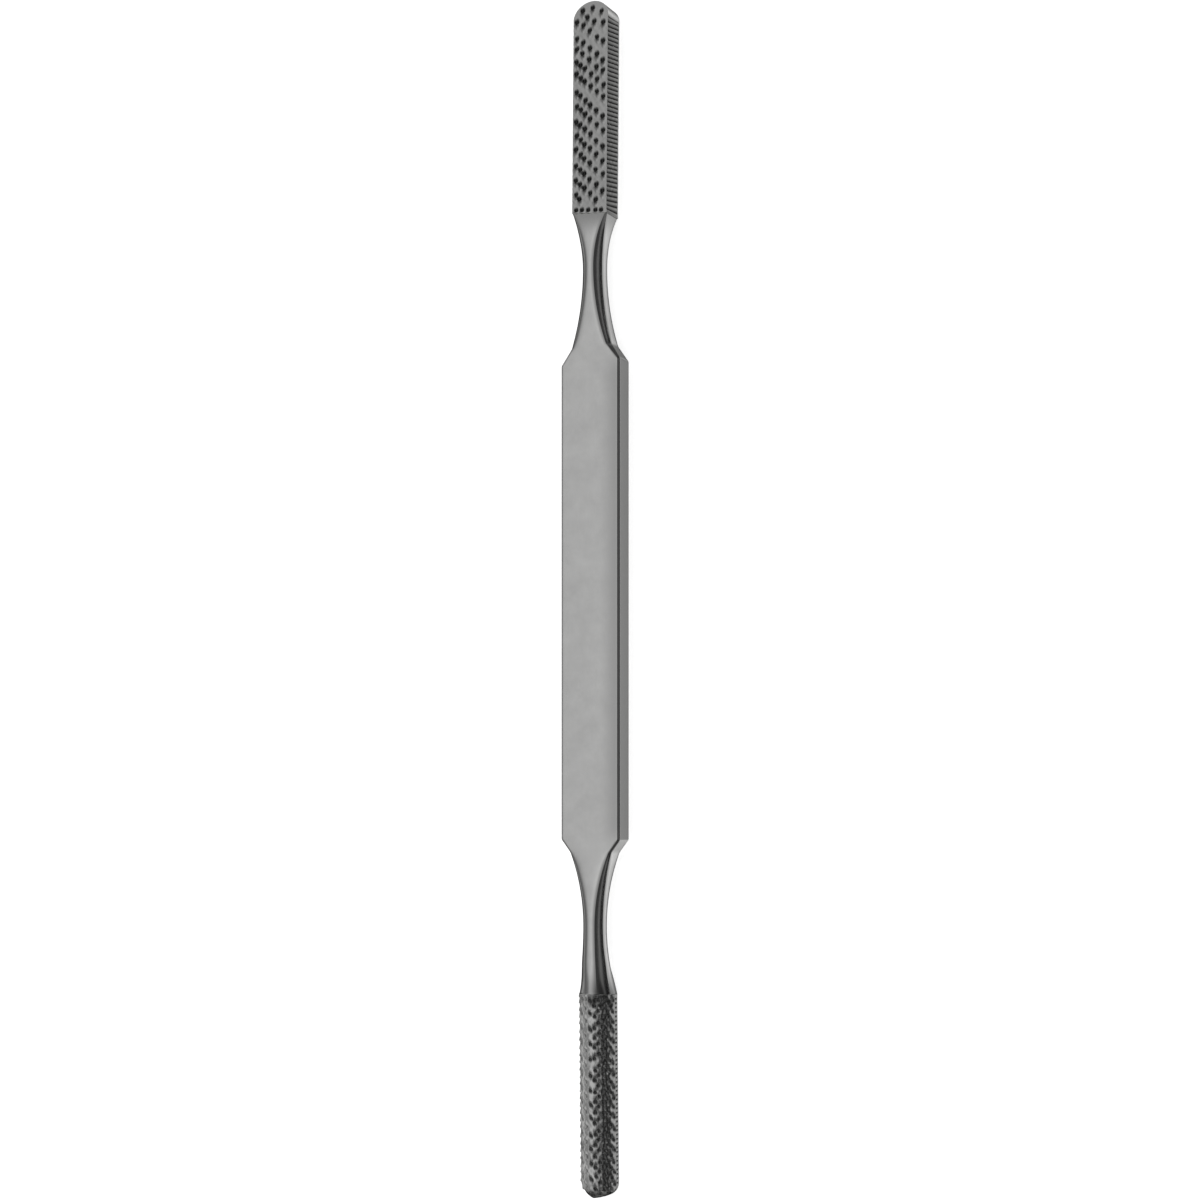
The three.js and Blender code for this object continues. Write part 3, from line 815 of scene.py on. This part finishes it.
def make_world():
    world = bpy.data.worlds.new("studio")
    bpy.context.scene.world = world
    world.use_nodes = True
    tree = world.node_tree
    link = tree.links.new
    split = node(tree, "ShaderNodeSeparateXYZ")
    link(node(tree, "ShaderNodeTexCoord").outputs["Generated"], split.inputs["Vector"])
    x, y, z = (split.outputs[key] for key in "XYZ")

    angle = node(tree, "ShaderNodeMath", operation="ARCTAN2")
    link(x, angle.inputs[0])
    link(z, angle.inputs[1])
    ramp = node(tree, "ShaderNodeValToRGB")
    ramp.color_ramp.interpolation = "EASE"
    stops = ramp.color_ramp.elements
    while len(stops) < len(ROOM):
        stops.new(0.5)
    for stop, (degrees, value) in zip(stops, ROOM):
        stop.position = (degrees + 180) / 360
        stop.color = (value, value, value, 1)
    link(ranged(tree, angle.outputs[0], -math.pi, math.pi, 0.0, 1.0), ramp.inputs["Fac"])

    away = node(tree, "ShaderNodeMath", operation="ABSOLUTE")
    shift = node(tree, "ShaderNodeMath", operation="SUBTRACT")
    shift.inputs[1].default_value = REACH_MIDDLE
    link(y, shift.inputs[0])
    link(shift.outputs[0], away.inputs[0])
    end = node(tree, "ShaderNodeMath", operation="SUBTRACT")
    link(away.outputs[0], end.inputs[0])
    link(ranged(tree, x, -REACH_TURN, REACH_TURN, SHADE_REACH, PANEL_REACH), end.inputs[1])
    past = ranged(tree, end.outputs[0], 0.0, REACH_FADE, 0.0, 1.0)
    room = tinted(tree, past, ramp.outputs["Color"], ROOM_SIDE)
    seen = node(tree, "ShaderNodeLightPath").outputs["Is Camera Ray"]
    link(tinted(tree, seen, room, BACKDROP), tree.nodes["Background"].inputs["Color"])


make_camera()
make_world()
white_floor()

# Each layer's tone: where it starts, where it is full, and its tone. All are painted shade, but for
# headward, the heads' darker steel, and the flat head's painted highlight round its tip.
handle_layers = {
    "side": (0.3, 0.9, 0.27),
    "roll": (0.0, 1.0, 0.45),
    "headward": (0.0, 1.0, 0.35),
    "facet_shade": (0.0, 1.0, 0.30),
    "corner": (0.0, 1.0, 0.05),
}
flat_layers = {
    "side": (0.0, 1.0, 0.19),
    "cut": (0.25, 0.9, 0.05),
    "tip_highlight": (0.0, 1.0, 0.66),
    "tooth_shade": (0.1, 0.85, 0.032),
}
round_layers = {"side": (0.0, 1.0, 0.085), "cut": (0.25, 0.9, 0.05), "tooth_shade": (0.1, 0.95, 0.07)}
make_handle(steel("handle_steel", 0.62, 0.20, 0.2, handle_layers))
make_flat_head(steel("flat_head_steel", 0.42, 0.28, 0.2, flat_layers))
make_round_head(steel("round_head_steel", 0.58, 0.28, 0.2, round_layers))

bpy.context.scene.view_settings.view_transform = "Standard"
bpy.context.scene.view_settings.look = "None"
